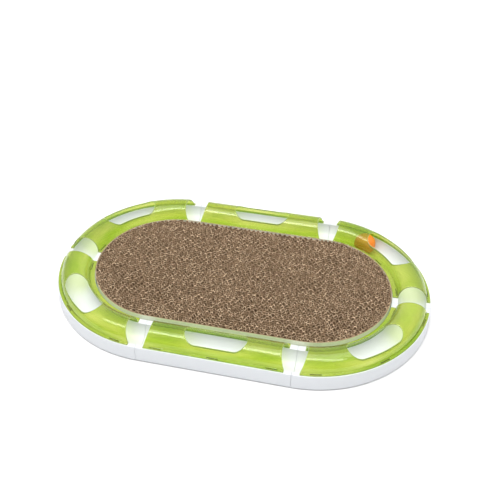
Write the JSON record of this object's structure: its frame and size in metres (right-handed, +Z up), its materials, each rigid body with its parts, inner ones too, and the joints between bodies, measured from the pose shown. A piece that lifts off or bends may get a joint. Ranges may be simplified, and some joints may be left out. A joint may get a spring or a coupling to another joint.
{
  "type": "cat scratcher with ball track",
  "caption": "Oval floor scratcher for cats: a corrugated cardboard pad inside a ring of white troughs with clear green covers, forming a tunnel for a ball.",
  "frame": {"origin": "centre of the oval, on the floor that the feet stand on", "axes": "+X along the oval's long axis, +Y towards the back long side, +Z up"},
  "size_m": [0.6366, 0.3902, 0.053],
  "materials": {
    "white_plastic": "satin",
    "green_plastic": "gloss",
    "corrugated_board": "matte",
    "paper_band": "matte",
    "foot_rubber": "matte",
    "ball_plastic": "gloss"
  },
  "bodies": {
    "track": {"base_front": "white_plastic", "base_front_left": "white_plastic", "base_front_right": "white_plastic", "base_back": "white_plastic", "base_back_left": "white_plastic", "base_back_right": "white_plastic", "foot_front_1": "foot_rubber", "foot_front_2": "foot_rubber", "foot_front_left_1": "foot_rubber", "foot_front_left_2": "foot_rubber", "foot_front_right_1": "foot_rubber", "foot_front_right_2": "foot_rubber", "foot_back_1": "foot_rubber", "foot_back_2": "foot_rubber", "foot_back_left_1": "foot_rubber", "foot_back_left_2": "foot_rubber", "foot_back_right_1": "foot_rubber", "foot_back_right_2": "foot_rubber"},
    "cover_front": {"cover_front": "green_plastic"},
    "cover_front_left": {"cover_front_left": "green_plastic"},
    "cover_front_right": {"cover_front_right": "green_plastic"},
    "cover_back": {"cover_back": "green_plastic"},
    "cover_back_left": {"cover_back_left": "green_plastic"},
    "cover_back_right": {"cover_back_right": "green_plastic"},
    "pad": {"pad_core": "corrugated_board", "pad_band": "paper_band"},
    "ball": {"ball_upper_half": "ball_plastic", "ball_lower_half": "ball_plastic"}
  },
  "joints": [
    {"name": "lift_cover_front", "type": "slide", "parent": "track", "child": "cover_front", "axis": [0, 0, 1], "range_m": [0, 0.06]},
    {"name": "lift_cover_front_left", "type": "slide", "parent": "track", "child": "cover_front_left", "axis": [0, 0, 1], "range_m": [0, 0.06]},
    {"name": "lift_cover_front_right", "type": "slide", "parent": "track", "child": "cover_front_right", "axis": [0, 0, 1], "range_m": [0, 0.06]},
    {"name": "lift_cover_back", "type": "slide", "parent": "track", "child": "cover_back", "axis": [0, 0, 1], "range_m": [0, 0.06]},
    {"name": "lift_cover_back_left", "type": "slide", "parent": "track", "child": "cover_back_left", "axis": [0, 0, 1], "range_m": [0, 0.06]},
    {"name": "lift_cover_back_right", "type": "slide", "parent": "track", "child": "cover_back_right", "axis": [0, 0, 1], "range_m": [0, 0.06]},
    {"name": "lift_pad", "type": "slide", "parent": "track", "child": "pad", "axis": [0, 0, 1], "range_m": [0, 0.08]},
    {"name": "ball_run", "type": "hinge", "parent": "track", "child": "ball", "pos_m": [0.1232, 0, 0.0251], "axis": [0, 0, 1], "range_deg": [-155, 25]}
  ]
}
